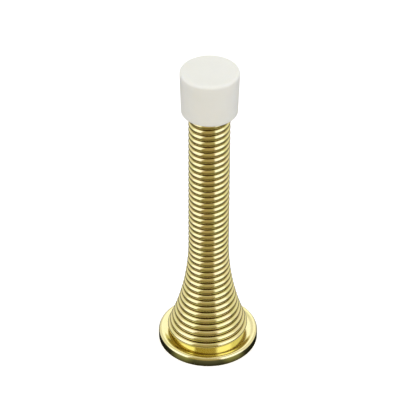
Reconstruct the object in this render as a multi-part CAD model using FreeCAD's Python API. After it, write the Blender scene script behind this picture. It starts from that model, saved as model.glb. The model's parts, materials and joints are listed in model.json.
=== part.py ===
"""Sprung door stop: a close-wound brass-plated wire spring that flares down onto a pressed brass base,
with a white rubber tip pushed over its top.

Millimetres, +Z up along the spring. The origin is the centre of the base's underside, so the stop stands on z = 0.
The spring is one wire. It is cut into short lengths, three quarters of a turn each, and each cut is a joint that
twists the wire about itself, which is how a coil spring bends. From the bottom, the cuts face west, north, east and
south in turn.
"""
import FreeCAD, Part
import math
import os

from FreeCAD import Vector

# Overall
OVERALL_HEIGHT = 80.0

# Spring wire and coil
WIRE_DIAMETER = 1.58
TURN_PITCH = 1.6325             # centre to centre of neighbouring turns, along the coil's side
TUBE_DIAMETER = 10.0            # outside the straight part of the coil
FLARE_START = 30.0              # the coil widens below this height
FLARE_RADIUS = 68.8             # of the curve that the wire's centre follows down the flare
TOP_CUT_HEIGHT = 67.14          # wire centre at the highest cut, just under the tip
TURN_AZIMUTH = 270.0            # the highest cut faces the front (south)

# How the wire is divided, in turns below the highest cut
FREE_LENGTH_TURNS = 0.75
FREE_LENGTHS = 51
HEAD_TURNS = 5.25               # turns above the highest cut, inside the tip
FOOT_TURNS = 1.25               # turns below the lowest cut, screwed onto the hub; the wire ends at the back
CUT_GAP = 0.06                  # between the two faces of a cut
POINTS_PER_TURN = 24            # of the curve along the wire

# Base plate, pressed from sheet
BASE_RADIUS = 12.45
BASE_TOP = 2.4                  # top of the rolled rim
SHEET = 0.5
DISH_TOP = 2.25                 # flat floor inside the rim
RIM_ROUND = 0.7                 # rounding of the rim's outer edge, whose crest is this far in
RIM_SLOPE_BULGE = 0.03          # how far the rim's inner slope stands proud of straight
DISH_RADIUS = 10.6              # where the rim's inner slope meets the flat floor
HUB_NECK_RADIUS = 6.5           # of the plate's centre hole, which the hub fills

# Hub, riveted through the plate
HUB_FLANGE_RADIUS = 7.6
HUB_TOP = 4.4
HUB_WALL_RADIUS = 9.22          # upright wall above the plate; higher up the hub narrows as the spring does
THREAD_DEPTH = 0.45             # how deep the wire lies in the hub's thread
THREAD_CLEARANCE = 0.02         # small enough that the thread's turns stay apart
THREAD_START_TURNS = 0.1        # below the lowest cut, before the wire first reaches the hub
THREAD_RUN_IN_TURNS = 0.2       # how far the thread runs on past the wire's end
HUB_EDGE = 0.3
SCREW_HOLE_RADIUS = 2.0
SCREW_HOLE_LENGTH = 2.2
SCREW_HEAD_RADIUS = 4.0         # mouth of the countersink

# Rubber tip
TIP_HEIGHT = 11.4
TIP_TOP_RADIUS = 7.05
TIP_BOTTOM_RADIUS = 6.7
TIP_TOP_EDGE = 0.8
TIP_BOTTOM_EDGE = 0.4
SOCKET_DEPTH = 8.1
SOCKET_CLEARANCE = 0.06         # round the wire, which the real rubber grips
SOCKET_LEAD_IN = 0.4

TANGENT_STEP = 1e-4             # in turns, either side of the place where the wire's direction is taken
EDGE_MARGIN = 0.1               # for telling the tip's top and bottom edges from the others

WIRE_RADIUS = WIRE_DIAMETER / 2
COIL_RADIUS = TUBE_DIAMETER / 2 - WIRE_RADIUS
LOWEST_CUT_TURNS = FREE_LENGTHS * FREE_LENGTH_TURNS
WIRE_END_TURNS = LOWEST_CUT_TURNS + FOOT_TURNS
UP = Vector(0, 0, 1)


def coil_radius_and_height(turns):
    """Radius and height of the wire's centre, this many turns below the highest cut."""
    run = turns * TURN_PITCH
    straight = TOP_CUT_HEIGHT - FLARE_START
    if run <= straight:
        return COIL_RADIUS, TOP_CUT_HEIGHT - run
    angle = (run - straight) / FLARE_RADIUS
    radius = COIL_RADIUS + FLARE_RADIUS * (1 - math.cos(angle))
    return radius, FLARE_START - FLARE_RADIUS * math.sin(angle)


def wire_point(turns):
    """Centre of the wire. The coil is right-handed, so it turns clockwise seen from above on the way down."""
    radius, height = coil_radius_and_height(turns)
    azimuth = math.radians(TURN_AZIMUTH) - 2 * math.pi * turns
    return Vector(radius * math.cos(azimuth), radius * math.sin(azimuth), height)


def wire_direction(turns):
    """Unit vector along the wire, on the way up."""
    along = wire_point(turns - TANGENT_STEP) - wire_point(turns + TANGENT_STEP)
    return along.normalize()


def wire_length(upper, lower, radius):
    """A round wire of this radius between two places on the coil, given in turns."""
    count = max(2, round((lower - upper) * POINTS_PER_TURN))
    points = [wire_point(lower + (upper - lower) * i / count) for i in range(count + 1)]
    curve = Part.BSplineCurve()
    curve.interpolate(Points=points)
    path = Part.Wire(curve.toShape())
    section = Part.Wire(Part.makeCircle(radius, points[0], wire_direction(lower)))
    return path.makePipeShell([section], True, True)


def wire_between_cuts(upper, lower, upper_is_cut=True, lower_is_cut=True):
    """A length of the spring, shortened by half the gap at each end that meets another length."""
    def half_gap(turns):
        return CUT_GAP / 2 / (2 * math.pi * coil_radius_and_height(turns)[0])
    top = upper + (half_gap(upper) if upper_is_cut else 0)
    bottom = lower - (half_gap(lower) if lower_is_cut else 0)
    return wire_length(top, bottom, WIRE_RADIUS)


def spring_top():
    """The closed turns inside the tip."""
    return wire_between_cuts(-HEAD_TURNS, 0.0, upper_is_cut=False)


def spring_coil(number):
    """One free length of the spring. They are numbered from the bottom."""
    lower = LOWEST_CUT_TURNS - (number - 1) * FREE_LENGTH_TURNS
    return wire_between_cuts(lower - FREE_LENGTH_TURNS, lower)


def spring_foot():
    """The widest turns, screwed onto the hub."""
    return wire_between_cuts(LOWEST_CUT_TURNS, WIRE_END_TURNS, lower_is_cut=False)


def revolved(edges):
    """A solid of revolution about Z from a closed outline in the XZ plane."""
    face = Part.Face(Part.Wire(Part.__sortEdges__(edges)))
    return face.revolve(Vector(), UP, 360)


def line(start, end):
    return Part.LineSegment(Vector(start[0], 0, start[1]), Vector(end[0], 0, end[1])).toShape()


def arc(start, middle, end):
    return Part.Arc(*[Vector(r, 0, z) for r, z in (start, middle, end)]).toShape()


def polygon(points):
    return [line(points[i - 1], points[i]) for i in range(len(points))]


def base_plate():
    """Pressed cup: a skirt, a rolled rim and a flat floor with a centre hole for the hub."""
    skirt_top = BASE_TOP - RIM_ROUND
    corner = RIM_ROUND * math.sqrt(0.5)
    outer_mid = (BASE_RADIUS - RIM_ROUND + corner, skirt_top + corner)
    crest = (BASE_RADIUS - RIM_ROUND, BASE_TOP)
    inner_slope_mid = (
        (crest[0] + DISH_RADIUS) / 2 - RIM_SLOPE_BULGE,
        (BASE_TOP + DISH_TOP) / 2 + RIM_SLOPE_BULGE,
    )
    floor_bottom = DISH_TOP - SHEET
    skirt_inside = BASE_RADIUS - SHEET
    inside_round = RIM_ROUND - SHEET
    inside_corner = inside_round * (1 - math.sqrt(0.5))
    return revolved([
        line((BASE_RADIUS, 0), (BASE_RADIUS, skirt_top)),
        arc((BASE_RADIUS, skirt_top), outer_mid, crest),
        arc(crest, inner_slope_mid, (DISH_RADIUS, DISH_TOP)),
        line((DISH_RADIUS, DISH_TOP), (HUB_NECK_RADIUS, DISH_TOP)),
        line((HUB_NECK_RADIUS, DISH_TOP), (HUB_NECK_RADIUS, floor_bottom)),
        line((HUB_NECK_RADIUS, floor_bottom), (skirt_inside - inside_round, floor_bottom)),
        arc(
            (skirt_inside - inside_round, floor_bottom),
            (skirt_inside - inside_corner, floor_bottom - inside_corner),
            (skirt_inside, floor_bottom - inside_round),
        ),
        line((skirt_inside, floor_bottom - inside_round), (skirt_inside, 0)),
        line((skirt_inside, 0), (BASE_RADIUS, 0)),
    ])


def spring_hub():
    """Round boss that the spring screws onto, with a flange under the plate and a countersunk screw hole."""
    floor_bottom = DISH_TOP - SHEET
    end_radius, end_height = coil_radius_and_height(WIRE_END_TURNS)
    top_radius, top_height = coil_radius_and_height(LOWEST_CUT_TURNS)
    slope = (top_radius - end_radius) / (top_height - end_height)
    inset = WIRE_RADIUS - THREAD_DEPTH

    def boss_radius(height):
        return min(HUB_WALL_RADIUS, end_radius - inset + slope * (height - end_height))

    wall_top = end_height + (HUB_WALL_RADIUS - end_radius + inset) / slope
    body = revolved(polygon([
        (0, 0),
        (HUB_FLANGE_RADIUS, 0),
        (HUB_FLANGE_RADIUS, floor_bottom),
        (HUB_NECK_RADIUS, floor_bottom),
        (HUB_NECK_RADIUS, DISH_TOP),
        (boss_radius(DISH_TOP), DISH_TOP),
        (HUB_WALL_RADIUS, wall_top),
        (boss_radius(HUB_TOP - HUB_EDGE), HUB_TOP - HUB_EDGE),
        (boss_radius(HUB_TOP) - HUB_EDGE, HUB_TOP),
        (0, HUB_TOP),
    ]))
    sink_depth = SCREW_HEAD_RADIUS - SCREW_HOLE_RADIUS
    hole = Part.makeCylinder(SCREW_HOLE_RADIUS, HUB_TOP)
    sink = Part.makeCone(SCREW_HOLE_RADIUS, SCREW_HEAD_RADIUS, sink_depth, Vector(0, 0, SCREW_HOLE_LENGTH))
    mouth_height = SCREW_HOLE_LENGTH + sink_depth
    mouth = Part.makeCylinder(SCREW_HEAD_RADIUS, HUB_TOP - mouth_height, Vector(0, 0, mouth_height))
    thread = wire_length(
        LOWEST_CUT_TURNS + THREAD_START_TURNS,
        WIRE_END_TURNS + THREAD_RUN_IN_TURNS,
        WIRE_RADIUS + THREAD_CLEARANCE,
    )
    return body.cut(hole).cut(sink).cut(mouth).cut(thread)


def rubber_tip():
    """Slightly tapered buffer with a blind socket for the top of the spring."""
    bottom = OVERALL_HEIGHT - TIP_HEIGHT
    outside = Part.makeCone(TIP_BOTTOM_RADIUS, TIP_TOP_RADIUS, TIP_HEIGHT, Vector(0, 0, bottom))
    top_edge = [e for e in outside.Edges if e.BoundBox.ZMin > OVERALL_HEIGHT - EDGE_MARGIN]
    outside = outside.makeFillet(TIP_TOP_EDGE, top_edge)
    bottom_edge = [e for e in outside.Edges if e.BoundBox.ZMax < bottom + EDGE_MARGIN]
    outside = outside.makeFillet(TIP_BOTTOM_EDGE, bottom_edge)
    socket_radius = TUBE_DIAMETER / 2 + SOCKET_CLEARANCE
    socket = Part.makeCylinder(socket_radius, SOCKET_DEPTH, Vector(0, 0, bottom))
    lead_in = Part.makeCone(socket_radius + SOCKET_LEAD_IN, socket_radius, SOCKET_LEAD_IN, Vector(0, 0, bottom))
    return outside.cut(socket).cut(lead_in)


def parts():
    """Every node's name and shape."""
    yield "base_plate", base_plate()
    yield "spring_hub", spring_hub()
    yield "spring_foot", spring_foot()
    for number in range(1, FREE_LENGTHS + 1):
        yield f"spring_coil_{number:02d}", spring_coil(number)
    yield "spring_top", spring_top()
    yield "rubber_tip", rubber_tip()


os.makedirs("parts", exist_ok=True)
for node, shape in parts():
    solid = shape if shape.ShapeType == "Solid" else shape.Solids[0]
    solid.exportStep(f"parts/{node}.step")
    print(node, "valid" if solid.isValid() else "NOT VALID", round(solid.Volume, 3))
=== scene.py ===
"""Sprung door stop: brass coil, pressed brass base and white rubber tip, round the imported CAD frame."""
import json
import math

import bpy
from mathutils import Matrix, Vector


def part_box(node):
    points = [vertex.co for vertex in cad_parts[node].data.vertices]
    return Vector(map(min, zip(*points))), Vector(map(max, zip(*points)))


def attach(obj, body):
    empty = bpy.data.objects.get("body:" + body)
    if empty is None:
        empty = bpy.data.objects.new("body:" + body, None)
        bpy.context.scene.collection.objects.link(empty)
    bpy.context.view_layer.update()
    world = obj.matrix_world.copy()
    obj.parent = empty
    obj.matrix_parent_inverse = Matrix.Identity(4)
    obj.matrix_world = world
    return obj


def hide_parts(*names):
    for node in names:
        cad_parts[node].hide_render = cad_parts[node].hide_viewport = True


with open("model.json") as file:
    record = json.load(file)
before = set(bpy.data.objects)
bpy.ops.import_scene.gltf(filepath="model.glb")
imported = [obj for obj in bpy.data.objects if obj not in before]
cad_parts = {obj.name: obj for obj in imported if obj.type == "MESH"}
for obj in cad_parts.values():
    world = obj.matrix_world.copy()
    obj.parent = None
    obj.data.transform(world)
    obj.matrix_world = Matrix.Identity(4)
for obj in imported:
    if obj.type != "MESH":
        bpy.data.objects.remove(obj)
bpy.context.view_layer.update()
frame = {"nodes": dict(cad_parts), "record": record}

MM = 0.001
BODY_OF = {node: body for body, nodes in frame["record"]["behaviour"]["bodies"].items() for node in nodes}

# The coil, as the CAD model winds it
WIRE_RADIUS = 0.79 * MM
TURN_PITCH = 1.6325 * MM
COIL_RADIUS = 4.21 * MM
FLARE_START = 30 * MM
FLARE_RADIUS = 68.8 * MM
TOP_CUT_HEIGHT = 67.14 * MM
TURN_AZIMUTH = 270.0                # in degrees, at the highest cut
FREE_LENGTH_TURNS = 0.75
FREE_LENGTHS = sum(n.startswith("spring_coil_") for n in frame["nodes"])
HEAD_TURNS = 5.25                   # above the highest cut
FOOT_TURNS = 1.25                   # below the lowest cut
LOWEST_CUT_TURNS = FREE_LENGTHS * FREE_LENGTH_TURNS
END_ROUND = 0.12 * MM               # softened edge of the wire's two free ends
END_ANGLES = (math.pi / 6, math.pi / 3, math.pi / 2)
TANGENT_STEP = 1e-4                 # in turns
HALF_TURN = 0.5
RINGS_PER_TURN = 64
SIDES = 28                          # of the wire's section

# Base plate
BASE_RADIUS = 12.45 * MM
BASE_TOP = 2.4 * MM
SHEET = 0.5 * MM
DISH_TOP = 2.25 * MM
RIM_ROUND = 0.7 * MM
DISH_RADIUS = 10.6 * MM
HUB_NECK_RADIUS = 6.5 * MM
BROKEN_EDGE = 0.05 * MM             # along the skirt's foot
RIM_STEPS = 12                      # round the rim's outer edge
SLOPE_STEPS = 8                     # down the rim's inner slope
INSIDE_STEPS = 6                    # round the corner under the rim
DISH_MARGIN = 0.2 * MM              # flat ring just inside the slope

# Rubber tip
TIP_LOW, TIP_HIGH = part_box("rubber_tip")
TIP_TOP_RADIUS = 7.05 * MM
TIP_BOTTOM_RADIUS = 6.7 * MM
TIP_TOP_EDGE = 0.8 * MM
TIP_BOTTOM_EDGE = 0.4 * MM
TIP_DIP = 0.01 * MM                 # how far the top sinks, between its flat middle and its edge
TIP_FLAT_SHARE = 0.35               # share of the top's radius that the flat middle takes
TIP_DIP_SHARE = 0.7                 # and where the dip is deepest
TIP_EDGE_STEPS = 8
TIP_SIDE_STEPS = 10
TIP_FOOT_STEPS = 6
SOCKET_RADIUS = 5.06 * MM
SOCKET_DEPTH = 8.1 * MM
SOCKET_LEAD_IN = 0.4 * MM
SOCKET_CORNER = 0.3 * MM

AROUND = 160                        # facets round a lathed piece, and round the dark card
SHARP_ANGLE = 40                    # in degrees: smooth shading stops at a sharper edge

# Finishes
BRIGHT_BRASS = (0.88, 0.78, 0.36, 1)
# painted shade for the grooves where neighbouring turns of the wire meet
PAINTED_GROOVE_SHADE = (0.36, 0.26, 0.06, 1)
PALE_BRASS = (0.92, 0.84, 0.48, 1)
GREEN_BRASS = (0.86, 0.80, 0.34, 1)
PINK_BRASS = (0.91, 0.78, 0.37, 1)
HUB_BRASS = (0.90, 0.84, 0.26, 1)
RUBBER_SHADE = (0.90, 0.92, 0.845, 1)
RUBBER_LIGHT = (0.94, 0.96, 0.885, 1)
FLOOR_SHADE = (0.93, 0.93, 0.92, 1)
FLOOR_LIGHT = (0.95, 0.95, 0.94, 1)

# Camera
SENSOR = 36                         # in mm, as is the lens
LENS = 177.4
CAMERA_ELEVATION = 37.1
CAMERA_DISTANCE = 0.4963
CAMERA_TARGET = Vector((0, 0, 0.04012))
CAMERA_LEAN = 0.4                   # degrees about the line of sight
CAMERA_SHIFT = (-0.0032, 0.0016)    # in picture widths
CLIP = (0.01, 20)

# Light tent: its colour by the cosine of the angle from the camera's side, from the back round to the front
UPPER_TENT = (
    (-1.0, (0.82, 0.82, 0.80)),
    (-0.975, (0.80, 0.80, 0.78)),
    (-0.93, (0.57, 0.56, 0.51)),
    (-0.03, (0.61, 0.60, 0.57)),
    (0.17, (0.92, 0.93, 1.10)),
    (0.79, (0.92, 0.93, 1.10)),
    (0.84, (0.29, 0.24, 0.13)),
    (1.0, (0.29, 0.24, 0.13)),
)
LOWER_TENT = (
    (-1.0, (0.10, 0.09, 0.06)),
    (0.1, (0.05, 0.045, 0.03)),
    (0.45, (0.14, 0.12, 0.06)),
    (0.80, (0.14, 0.12, 0.06)),
    (0.88, (0.12, 0.09, 0.04)),
    (1.0, (0.12, 0.09, 0.04)),
)
TENT_CROWN = (0.44, 0.43, 0.40, 1)
FLOOR_BLEND = (-0.50, 0.0)          # sines of elevation, where the lower tent gives way to the upper one
CROWN_BLEND = (0.80, 0.95)          # and the upper one to the crown
TENT_STRENGTH = 1.45
TENT_TURN = 7                       # degrees that the opening stands left of the camera

# Fill light, on the camera's side
FILL_TARGET = Vector((0, 0, 0.04))
FILL_ELEVATION = 10
FILL_DISTANCE = 1.0
FILL_SIZE = 0.8
FILL_POWER = 2.8

# Floor, and the dark card round the base that is seen only in reflections: painted shade of the floor near
# the base, for the brass to mirror
FLOOR_SIZE = 3.0
FLOOR_DROP = 0.02 * MM
FLOOR_GLOW = 0.45
CARD_HEIGHT = 0.01 * MM
CARD_INSIDE = 12.55 * MM
# painted contact shadow: the card is darkest along its inner edge, next to the base
CONTACT_SHADE_WIDTH = 2.3 * MM                # width of its darkest ring
CONTACT_SHADE_SHARE = 0.2                  # share of its brightness along its inner edge
CARD_SOLID = 3 * MM                 # width of the ring that doesn't fade
CARD_OUTSIDE = 45 * MM
# painted shade, with dim olive painted reflections near the camera's side, by the cosine of the bearing
# from the camera's side
PAINTED_SHADE_COLOURS = (
    (-1.0, (0.03, 0.03, 0.02)),
    (0.2, (0.01, 0.012, 0.008)),
    (0.6, (0.05, 0.05, 0.03)),
    (0.76, (0.30, 0.31, 0.16)),
    (0.88, (0.30, 0.31, 0.16)),
    (0.95, (0.10, 0.10, 0.07)),
    (1.0, (0.10, 0.10, 0.07)),
)


# ---------------------------------------------------------------- geometry

def coil_radius_and_height(turns):
    """Radius and height of the wire's centre, this many turns below the highest cut."""
    run = turns * TURN_PITCH
    straight = TOP_CUT_HEIGHT - FLARE_START
    if run <= straight:
        return COIL_RADIUS, TOP_CUT_HEIGHT - run
    angle = (run - straight) / FLARE_RADIUS
    radius = COIL_RADIUS + FLARE_RADIUS * (1 - math.cos(angle))
    return radius, FLARE_START - FLARE_RADIUS * math.sin(angle)


def wire_point(turns):
    """Centre of the wire."""
    radius, height = coil_radius_and_height(turns)
    azimuth = math.radians(TURN_AZIMUTH) - 2 * math.pi * turns
    return Vector((radius * math.cos(azimuth), radius * math.sin(azimuth), height))


def wire_axes(turns):
    """Directions at a place on the wire: along it, outwards, upwards, and towards the neighbouring turn."""
    centre = wire_point(turns)
    along = (wire_point(turns - TANGENT_STEP) - wire_point(turns + TANGENT_STEP)).normalized()
    radial = Vector((centre.x, centre.y, 0)).normalized()
    out = (radial - along * radial.dot(along)).normalized()
    low_radius, low_height = coil_radius_and_height(turns + HALF_TURN)
    high_radius, high_height = coil_radius_and_height(turns - HALF_TURN)
    neighbour = radial * (high_radius - low_radius) + Vector((0, 0, high_height - low_height))
    return along, out, along.cross(out), neighbour.normalized()


def wire_stations(upper, lower, open_top, open_bottom):
    """Rings along a length of wire: place in turns, share of the full radius, and shift along the wire."""
    count = max(2, round((lower - upper) * RINGS_PER_TURN))
    stations = [(lower + (upper - lower) * i / count, 1.0, 0.0) for i in range(count + 1)]
    flat = 1 - END_ROUND / WIRE_RADIUS
    soft = [(flat + (1 - flat) * math.cos(a), END_ROUND * math.sin(a)) for a in END_ANGLES]
    if open_bottom:
        stations = [(lower, share, -reach) for share, reach in reversed(soft)] + stations
    if open_top:
        stations += [(upper, share, reach) for share, reach in soft]
    return stations


def new_object(name, vertices, faces):
    """A smooth mesh object in the scene."""
    mesh = bpy.data.meshes.new(name)
    mesh.from_pydata(vertices, [], faces)
    mesh.update()
    mesh.polygons.foreach_set("use_smooth", [True] * len(mesh.polygons))
    obj = bpy.data.objects.new(name, mesh)
    bpy.context.scene.collection.objects.link(obj)
    return obj


def set_point_values(obj, name, values):
    """One number for each vertex, which a material reads by its name."""
    obj.data.attributes.new(name, "FLOAT", "POINT").data.foreach_set("value", values)


def wire_piece(name, upper, lower, open_top, open_bottom):
    """A length of round wire along the coil. A free end gets a softened edge, and a cut is left flat."""
    stations = wire_stations(upper, lower, open_top, open_bottom)
    vertices, groove, along_wire, round_wire = [], [], [], []
    for turns, share, shift in stations:
        along, out, up, neighbour = wire_axes(turns)
        centre = wire_point(turns) + along * shift
        for k in range(SIDES):
            angle = 2 * math.pi * k / SIDES
            normal = out * math.cos(angle) + up * math.sin(angle)
            vertices.append(centre + normal * (WIRE_RADIUS * share))
            # how squarely the surface faces the neighbouring turn: the wire's material paints shade where
            # this is high
            groove.append(abs(normal.dot(neighbour)))
            along_wire.append(turns)
            round_wire.append(angle)
    faces = []
    for i in range(len(stations) - 1):
        for k in range(SIDES):
            a, b = i * SIDES + k, i * SIDES + (k + 1) % SIDES
            faces.append((a, b, b + SIDES, a + SIDES))
    last = (len(stations) - 1) * SIDES
    faces.append(tuple(reversed(range(SIDES))))
    faces.append(tuple(range(last, last + SIDES)))
    obj = new_object(name, vertices, faces)
    set_point_values(obj, "groove", groove)
    set_point_values(obj, "along", along_wire)
    set_point_values(obj, "round", round_wire)
    mark_sharp_edges(obj)
    return obj


def arc(centre, radius, start, end, steps):
    """Points on an arc in the (radius, height) plane, from start to end degrees."""
    angles = [math.radians(start + (end - start) * i / steps) for i in range(steps + 1)]
    return [(centre[0] + radius * math.cos(a), centre[1] + radius * math.sin(a)) for a in angles]


def lathe(name, outline):
    """An outline turned about Z. It is closed, or it starts and ends on the axis, in single points."""
    vertices, rings = [], []
    for radius, height in outline:
        if radius == 0:
            rings.append([len(vertices)] * AROUND)
            vertices.append(Vector((0, 0, height)))
            continue
        rings.append(list(range(len(vertices), len(vertices) + AROUND)))
        for k in range(AROUND):
            a = 2 * math.pi * k / AROUND
            vertices.append(Vector((radius * math.cos(a), radius * math.sin(a), height)))
    faces = []
    closed = outline[0][0] > 0
    for i in range(len(rings) if closed else len(rings) - 1):
        lower, upper = rings[i], rings[(i + 1) % len(rings)]
        for k in range(AROUND):
            n = (k + 1) % AROUND
            corners = (lower[k], lower[n], upper[n], upper[k])
            face = list(dict.fromkeys(corners))
            if len(face) > 2:
                faces.append(face)
    obj = new_object(name, vertices, faces)
    mark_sharp_edges(obj)
    return obj


def mark_sharp_edges(obj):
    """Stops smooth shading at the edges whose two faces meet at more than the sharp angle."""
    mesh = obj.data
    normals = {}
    for polygon in mesh.polygons:
        for key in polygon.edge_keys:
            normals.setdefault(key, []).append(polygon.normal.copy())
    limit = math.cos(math.radians(SHARP_ANGLE))
    values = [normals[edge.key][0].dot(normals[edge.key][-1]) < limit for edge in mesh.edges]
    mesh.attributes.new("sharp_edge", "BOOLEAN", "EDGE").data.foreach_set("value", values)


# ---------------------------------------------------------------- node trees

class Nodes:
    """Short calls for building a node tree. Values are output sockets."""

    MIX_COLOURS = (6, 7)                # inputs of the Mix node that take its two colours
    MIX_RESULT = 2                      # and the output that gives their mix

    def __init__(self, tree):
        self.tree = tree
        tree.nodes.clear()

    def add(self, kind, **settings):
        """A new node. Each setting is the value of an input, or a property of the node."""
        node = self.tree.nodes.new(kind)
        for name, value in settings.items():
            socket = name.replace("_", " ")
            if socket in node.inputs:
                node.inputs[socket].default_value = value
            else:
                setattr(node, name, value)
        return node

    def join(self, value, node, socket):
        self.tree.links.new(value, node.inputs[socket])

    def noise(self, place, scale, detail, roughness=0.5):
        node = self.add("ShaderNodeTexNoise", Scale=scale, Detail=detail, Roughness=roughness)
        self.join(place, node, "Vector")
        return node.outputs["Fac"]

    def place(self):
        """The point in the object's own coordinates."""
        return self.add("ShaderNodeTexCoord").outputs["Object"]

    def attribute(self, name):
        return self.add("ShaderNodeAttribute", attribute_name=name).outputs["Fac"]

    def stretched(self, place, scale):
        node = self.add("ShaderNodeMapping", Scale=scale)
        self.join(place, node, "Vector")
        return node.outputs["Vector"]

    def split(self, place):
        node = self.add("ShaderNodeSeparateXYZ")
        self.join(place, node, "Vector")
        return node.outputs["X"], node.outputs["Y"], node.outputs["Z"]

    def vector(self, x, y=None):
        node = self.add("ShaderNodeCombineXYZ")
        self.join(x, node, "X")
        if y is not None:
            self.join(y, node, "Y")
        return node.outputs["Vector"]

    def length(self, vector):
        node = self.add("ShaderNodeVectorMath", operation="LENGTH")
        self.join(vector, node, 0)
        return node.outputs["Value"]

    def divided(self, value, by):
        node = self.add("ShaderNodeMath", operation="DIVIDE")
        self.join(value, node, 0)
        self.join(by, node, 1)
        return node.outputs["Value"]

    def mapped(self, value, low, high, low_result=0.0, high_result=1.0, smooth=False):
        """Maps a number in low..high to low_result..high_result, clamped."""
        node = self.add("ShaderNodeMapRange", From_Min=low, From_Max=high)
        node.inputs["To Min"].default_value = low_result
        node.inputs["To Max"].default_value = high_result
        if smooth:
            node.interpolation_type = "SMOOTHSTEP"
        self.join(value, node, "Value")
        return node.outputs["Result"]

    def mixed(self, factor, a, b):
        """A colour between a and b, each a colour or a value."""
        node = self.add("ShaderNodeMix", data_type="RGBA")
        self.join(factor, node, "Factor")
        for place, colour in zip(self.MIX_COLOURS, (a, b)):
            if isinstance(colour, bpy.types.NodeSocket):
                self.join(colour, node, place)
            else:
                node.inputs[place].default_value = colour
        return node.outputs[self.MIX_RESULT]

    def by_bearing(self, x, y, stops):
        """A colour by the cosine of the bearing of (x, y) from the camera's side, which is -Y."""
        towards_back = self.divided(y, self.length(self.vector(x, y)))
        ramp = self.add("ShaderNodeValToRGB")
        elements = ramp.color_ramp.elements
        while len(elements) < len(stops):
            elements.new(0.5)
        for element, (cosine, colour) in zip(elements, stops):
            element.position = (cosine + 1) / 2
            element.color = (*colour, 1)
        self.join(self.mapped(towards_back, 1.0, -1.0), ramp, "Fac")
        return ramp.outputs["Color"]

    def blended(self, factor, a, b):
        """A mix of two shader nodes."""
        node = self.add("ShaderNodeMixShader")
        self.join(factor, node, 0)
        self.join(a.outputs[0], node, 1)
        self.join(b.outputs[0], node, 2)
        return node


class Surface(Nodes):
    """A new material."""

    def __init__(self, name):
        self.material = bpy.data.materials.new(name)
        self.material.use_nodes = True
        super().__init__(self.material.node_tree)
        self.output = self.add("ShaderNodeOutputMaterial")

    def show(self, shader):
        self.join(shader.outputs[0], self.output, "Surface")


class Finish(Surface):
    """A new material with one main shader."""

    def __init__(self, name, **settings):
        super().__init__(name)
        self.shader = self.add("ShaderNodeBsdfPrincipled", **settings)
        self.show(self.shader)

    def surface(self, colour, roughness=None):
        self.join(colour, self.shader, "Base Color")
        if roughness is not None:
            self.join(roughness, self.shader, "Roughness")

    def bump(self, height, strength, distance):
        node = self.add("ShaderNodeBump", Strength=strength, Distance=distance)
        self.join(height, node, "Height")
        self.join(node.outputs["Normal"], self.shader, "Normal")


# ---------------------------------------------------------------- materials

def wire_material():
    """Brass-plated and lacquered wire, with painted shade in the grooves between turns and faint tarnish in
    patches.
    """
    m = Finish("brass_wire", Metallic=1.0, Coat_Weight=0.5, Coat_Roughness=0.06)
    place = m.place()
    on_wire = m.vector(m.attribute("along"), m.attribute("round"))
    drawn = m.noise(m.stretched(on_wire, (1.2, 3.0, 1.0)), scale=6.0, detail=4.0, roughness=0.6)
    cloud = m.noise(place, scale=220.0, detail=3.0)
    tint = m.noise(place, scale=420.0, detail=2.0)
    # painted shade in the grooves, where the wire faces its neighbouring turn
    groove_shade = m.mapped(m.attribute("groove"), 0.70, 0.95)
    tarnish = m.mixed(m.mapped(tint, 0.38, 0.62), GREEN_BRASS, PINK_BRASS)
    patches = m.mixed(m.mapped(cloud, 0.35, 0.7, 0.0, 0.35), tarnish, PALE_BRASS)
    m.surface(m.mixed(groove_shade, patches, PAINTED_GROOVE_SHADE), m.mapped(drawn, 0.3, 0.75, 0.11, 0.2))
    m.bump(drawn, strength=0.12, distance=0.02 * MM)
    return m.material


def plate_material():
    """Polished and lacquered pressed brass, with faint turning marks, smears and tarnish."""
    m = Finish("brass_plate", Metallic=1.0, Coat_Weight=0.25, Coat_Roughness=0.08)
    place = m.place()
    x, y, _ = m.split(place)
    smear = m.noise(place, scale=160.0, detail=4.0, roughness=0.6)
    rings = m.noise(m.vector(m.length(m.vector(x, y))), scale=9000.0, detail=2.0)
    tint = m.noise(place, scale=260.0, detail=2.0)
    tarnish = m.mixed(m.mapped(tint, 0.38, 0.62), GREEN_BRASS, PINK_BRASS)
    colour = m.mixed(m.mapped(smear, 0.35, 0.7, 0.3, 1.0), tarnish, PALE_BRASS)
    m.surface(colour, m.mapped(smear, 0.3, 0.75, 0.10, 0.18))
    m.bump(rings, strength=0.05, distance=0.01 * MM)
    return m.material


def hub_material():
    """Turned and plated brass of the hub, yellower than the plate, with fine turning marks."""
    m = Finish("brass_hub", Metallic=1.0)
    grain = m.noise(m.stretched(m.place(), (0.2, 0.2, 6.0)), scale=400.0, detail=4.0, roughness=0.6)
    colour = m.mixed(m.mapped(grain, 0.3, 0.7, 0.0, 0.5), HUB_BRASS, BRIGHT_BRASS)
    m.surface(colour, m.mapped(grain, 0.3, 0.7, 0.1, 0.16))
    m.bump(grain, strength=0.06, distance=0.01 * MM)
    return m.material


def rubber_material():
    """Off-white moulded rubber: satin, very slightly mottled, with a fine moulding texture."""
    m = Finish(
        "white_rubber",
        Subsurface_Weight=0.25,
        Subsurface_Radius=(1.2 * MM, 1.1 * MM, 0.9 * MM),
        Subsurface_Scale=1.0,
        Specular_IOR_Level=0.35,
    )
    place = m.place()
    mottle = m.noise(place, scale=110.0, detail=4.0, roughness=0.55)
    skin = m.noise(place, scale=3200.0, detail=3.0)
    colour = m.mixed(m.mapped(mottle, 0.3, 0.7), RUBBER_SHADE, RUBBER_LIGHT)
    m.surface(colour, m.mapped(mottle, 0.3, 0.7, 0.42, 0.52))
    m.bump(skin, strength=0.08, distance=0.04 * MM)
    return m.material


# ---------------------------------------------------------------- pieces

def finish_piece(piece, material, node):
    """Gives a new piece its finish, and puts it in the place of its CAD node on that node's body."""
    piece.data.materials.append(material)
    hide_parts(node)
    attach(piece, BODY_OF[node])


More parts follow.
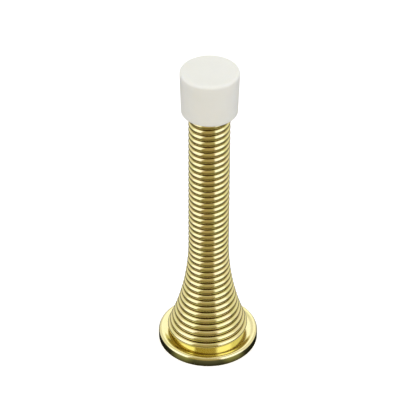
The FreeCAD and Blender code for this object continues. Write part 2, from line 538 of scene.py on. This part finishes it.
def build_spring(material):
    """The wire, one piece for each length between cuts, with no gap where two lengths meet."""
    lengths = [("foot", LOWEST_CUT_TURNS, LOWEST_CUT_TURNS + FOOT_TURNS)]
    for number in range(1, FREE_LENGTHS + 1):
        lower = LOWEST_CUT_TURNS - (number - 1) * FREE_LENGTH_TURNS
        lengths.append((f"coil_{number:02d}", lower - FREE_LENGTH_TURNS, lower))
    lengths.append(("top", -HEAD_TURNS, 0.0))
    for name, upper, lower in lengths:
        piece = wire_piece("wire_" + name, upper, lower, name == "top", name == "foot")
        finish_piece(piece, material, "spring_" + name)


def build_base(material):
    """Pressed cup with a rolled rim whose inner slope eases down to the flat floor."""
    crest = BASE_RADIUS - RIM_ROUND
    drop = BASE_TOP - DISH_TOP
    skirt_inside = BASE_RADIUS - SHEET
    inside_round = RIM_ROUND - SHEET
    floor_bottom = DISH_TOP - SHEET
    outline = [(BASE_RADIUS - BROKEN_EDGE, 0), (BASE_RADIUS, BROKEN_EDGE)]
    outline += arc((crest, BASE_TOP - RIM_ROUND), RIM_ROUND, 0, 90, RIM_STEPS)
    for i in range(1, SLOPE_STEPS + 1):
        t = i / SLOPE_STEPS
        fallen = drop * (1 - math.cos(math.pi * t)) / 2
        outline.append((crest + (DISH_RADIUS - crest) * t, BASE_TOP - fallen))
    outline += [
        (DISH_RADIUS - DISH_MARGIN, DISH_TOP),
        (HUB_NECK_RADIUS, DISH_TOP),
        (HUB_NECK_RADIUS, floor_bottom),
    ]
    inside_centre = (skirt_inside - inside_round, floor_bottom - inside_round)
    outline += arc(inside_centre, inside_round, 90, 0, INSIDE_STEPS)
    outline += [(skirt_inside, BROKEN_EDGE), (skirt_inside + BROKEN_EDGE, 0)]
    finish_piece(lathe("pressed_base", outline), material, "base_plate")


def build_tip(material):
    """Moulded buffer: a nearly flat top, a soft edge, tapering sides and a blind socket."""
    low, high = TIP_LOW.z, TIP_HIGH.z
    edge = high - TIP_TOP_EDGE
    foot = low + TIP_BOTTOM_EDGE

    def side(height):
        return TIP_BOTTOM_RADIUS + (TIP_TOP_RADIUS - TIP_BOTTOM_RADIUS) * (height - low) / (high - low)

    outline = [
        (0, high),
        (TIP_FLAT_SHARE * TIP_TOP_RADIUS, high),
        (TIP_DIP_SHARE * TIP_TOP_RADIUS, high - TIP_DIP),
    ]
    outline += arc((side(edge) - TIP_TOP_EDGE, edge), TIP_TOP_EDGE, 90, 0, TIP_EDGE_STEPS)
    for i in range(1, TIP_SIDE_STEPS):
        height = edge + (foot - edge) * i / TIP_SIDE_STEPS
        outline.append((side(height), height))
    outline += arc((side(foot) - TIP_BOTTOM_EDGE, foot), TIP_BOTTOM_EDGE, 0, -90, TIP_FOOT_STEPS)
    outline += [
        (SOCKET_RADIUS + SOCKET_LEAD_IN, low),
        (SOCKET_RADIUS, low + SOCKET_LEAD_IN),
        (SOCKET_RADIUS, low + SOCKET_DEPTH - SOCKET_CORNER),
        (SOCKET_RADIUS - SOCKET_CORNER, low + SOCKET_DEPTH),
        (0, low + SOCKET_DEPTH),
    ]
    outline.reverse()
    finish_piece(lathe("buffer_tip", outline), material, "rubber_tip")


def finish_hub():
    """The hub keeps its CAD shape, in a brass of its own."""
    hub = frame["nodes"]["spring_hub"]
    hub.data.materials.clear()
    hub.data.materials.append(hub_material())


# ---------------------------------------------------------------- stage

def place_on_camera_side(obj, target, elevation, distance):
    """Puts the camera or a light in front of the object, this many degrees up, looking at the target."""
    angle = math.radians(elevation)
    bpy.context.scene.collection.objects.link(obj)
    obj.location = target + Vector((0, -math.cos(angle), math.sin(angle))) * distance
    obj.rotation_mode = "QUATERNION"
    obj.rotation_quaternion = (target - obj.location).to_track_quat("-Z", "Y")


def make_camera():
    """The viewing angle: from the front, well above, with a long lens and a slight lean."""
    data = bpy.data.cameras.new("camera")
    data.sensor_width = SENSOR
    data.lens = LENS
    data.clip_start, data.clip_end = CLIP
    data.shift_x, data.shift_y = CAMERA_SHIFT
    camera = bpy.data.objects.new("camera", data)
    place_on_camera_side(camera, CAMERA_TARGET, CAMERA_ELEVATION, CAMERA_DISTANCE)
    lean = Matrix.Rotation(math.radians(CAMERA_LEAN), 3, "Z").to_quaternion()
    camera.rotation_quaternion = camera.rotation_quaternion @ lean
    bpy.context.scene.camera = camera


def make_fill_light():
    """A large soft box that brightens the rubber, and isn't reflected in the brass."""
    data = bpy.data.lights.new("fill", "AREA")
    data.size = FILL_SIZE
    data.energy = FILL_POWER
    light = bpy.data.objects.new("fill", data)
    place_on_camera_side(light, FILL_TARGET, FILL_ELEVATION, FILL_DISTANCE)
    light.visible_glossy = False


def make_world():
    """A light tent round the object, open on the camera's side, in front of a white background."""
    world = bpy.data.worlds.new("studio")
    bpy.context.scene.world = world
    world.use_nodes = True
    n = Nodes(world.node_tree)
    turned = n.add("ShaderNodeMapping", Rotation=(0, 0, math.radians(TENT_TURN)))
    n.join(n.add("ShaderNodeTexCoord").outputs["Generated"], turned, "Vector")
    x, y, z = n.split(turned.outputs["Vector"])
    lower = n.by_bearing(x, y, LOWER_TENT)
    upper = n.by_bearing(x, y, UPPER_TENT)
    walls = n.mixed(n.mapped(z, *FLOOR_BLEND, smooth=True), lower, upper)
    tent = n.mixed(n.mapped(z, *CROWN_BLEND, smooth=True), walls, TENT_CROWN)
    around = n.add("ShaderNodeBackground", Strength=TENT_STRENGTH)
    n.join(tent, around, "Color")
    background = n.add("ShaderNodeBackground", Color=(1, 1, 1, 1))
    seen = n.add("ShaderNodeLightPath").outputs["Is Camera Ray"]
    n.join(n.blended(seen, around, background).outputs[0], n.add("ShaderNodeOutputWorld"), "Surface")


def make_floor():
    """A pale floor that goes over into the background."""
    corners = [(x * FLOOR_SIZE, y * FLOOR_SIZE, 0) for x, y in ((-1, -1), (1, -1), (1, 1), (-1, 1))]
    floor = new_object("floor", corners, [(0, 1, 2, 3)])
    floor.location.z = -FLOOR_DROP
    m = Finish(
        "pale_floor",
        Roughness=0.9,
        Specular_IOR_Level=0.1,
        Emission_Color=(1, 1, 1, 1),
        Emission_Strength=FLOOR_GLOW,
    )
    speck = m.noise(m.place(), scale=40.0, detail=3.0)
    m.surface(m.mixed(m.mapped(speck, 0.3, 0.7), FLOOR_SHADE, FLOOR_LIGHT))
    floor.data.materials.append(m.material)
    floor.visible_glossy = False
    floor.visible_diffuse = False
    floor.visible_shadow = False


def make_painted_shade_card():
    """A dark card round the base that fades out with distance, seen only in reflections: painted shade of
    the floor next to the base, with dim painted reflections, for the brass to mirror.
    """
    angles = [2 * math.pi * k / AROUND for k in range(AROUND)]
    vertices = [(r * math.cos(a), r * math.sin(a), 0) for r in (CARD_INSIDE, CARD_OUTSIDE) for a in angles]
    faces = [(k, (k + 1) % AROUND, AROUND + (k + 1) % AROUND, AROUND + k) for k in range(AROUND)]
    card = new_object("painted_shade_card", vertices, faces)
    card.location.z = CARD_HEIGHT
    m = Surface("painted_shade_card")
    x, y, _ = m.split(m.place())
    reach = m.length(m.vector(x, y))
    glow = m.add("ShaderNodeEmission")
    m.join(m.by_bearing(x, y, PAINTED_SHADE_COLOURS), glow, "Color")
    # painted contact shadow: darker towards the base
    m.join(m.mapped(reach, CARD_INSIDE, CARD_INSIDE + CONTACT_SHADE_WIDTH, CONTACT_SHADE_SHARE, 1.0), glow, "Strength")
    fade = m.mapped(reach, CARD_INSIDE + CARD_SOLID, CARD_OUTSIDE)
    m.show(m.blended(fade, glow, m.add("ShaderNodeBsdfTransparent")))
    card.data.materials.append(m.material)
    card.visible_camera = False
    card.visible_diffuse = False
    card.visible_shadow = False


make_camera()
make_fill_light()
make_world()
make_floor()
make_painted_shade_card()
bpy.context.scene.view_settings.view_transform = "Standard"

build_spring(wire_material())
build_base(plate_material())
build_tip(rubber_material())
finish_hub()
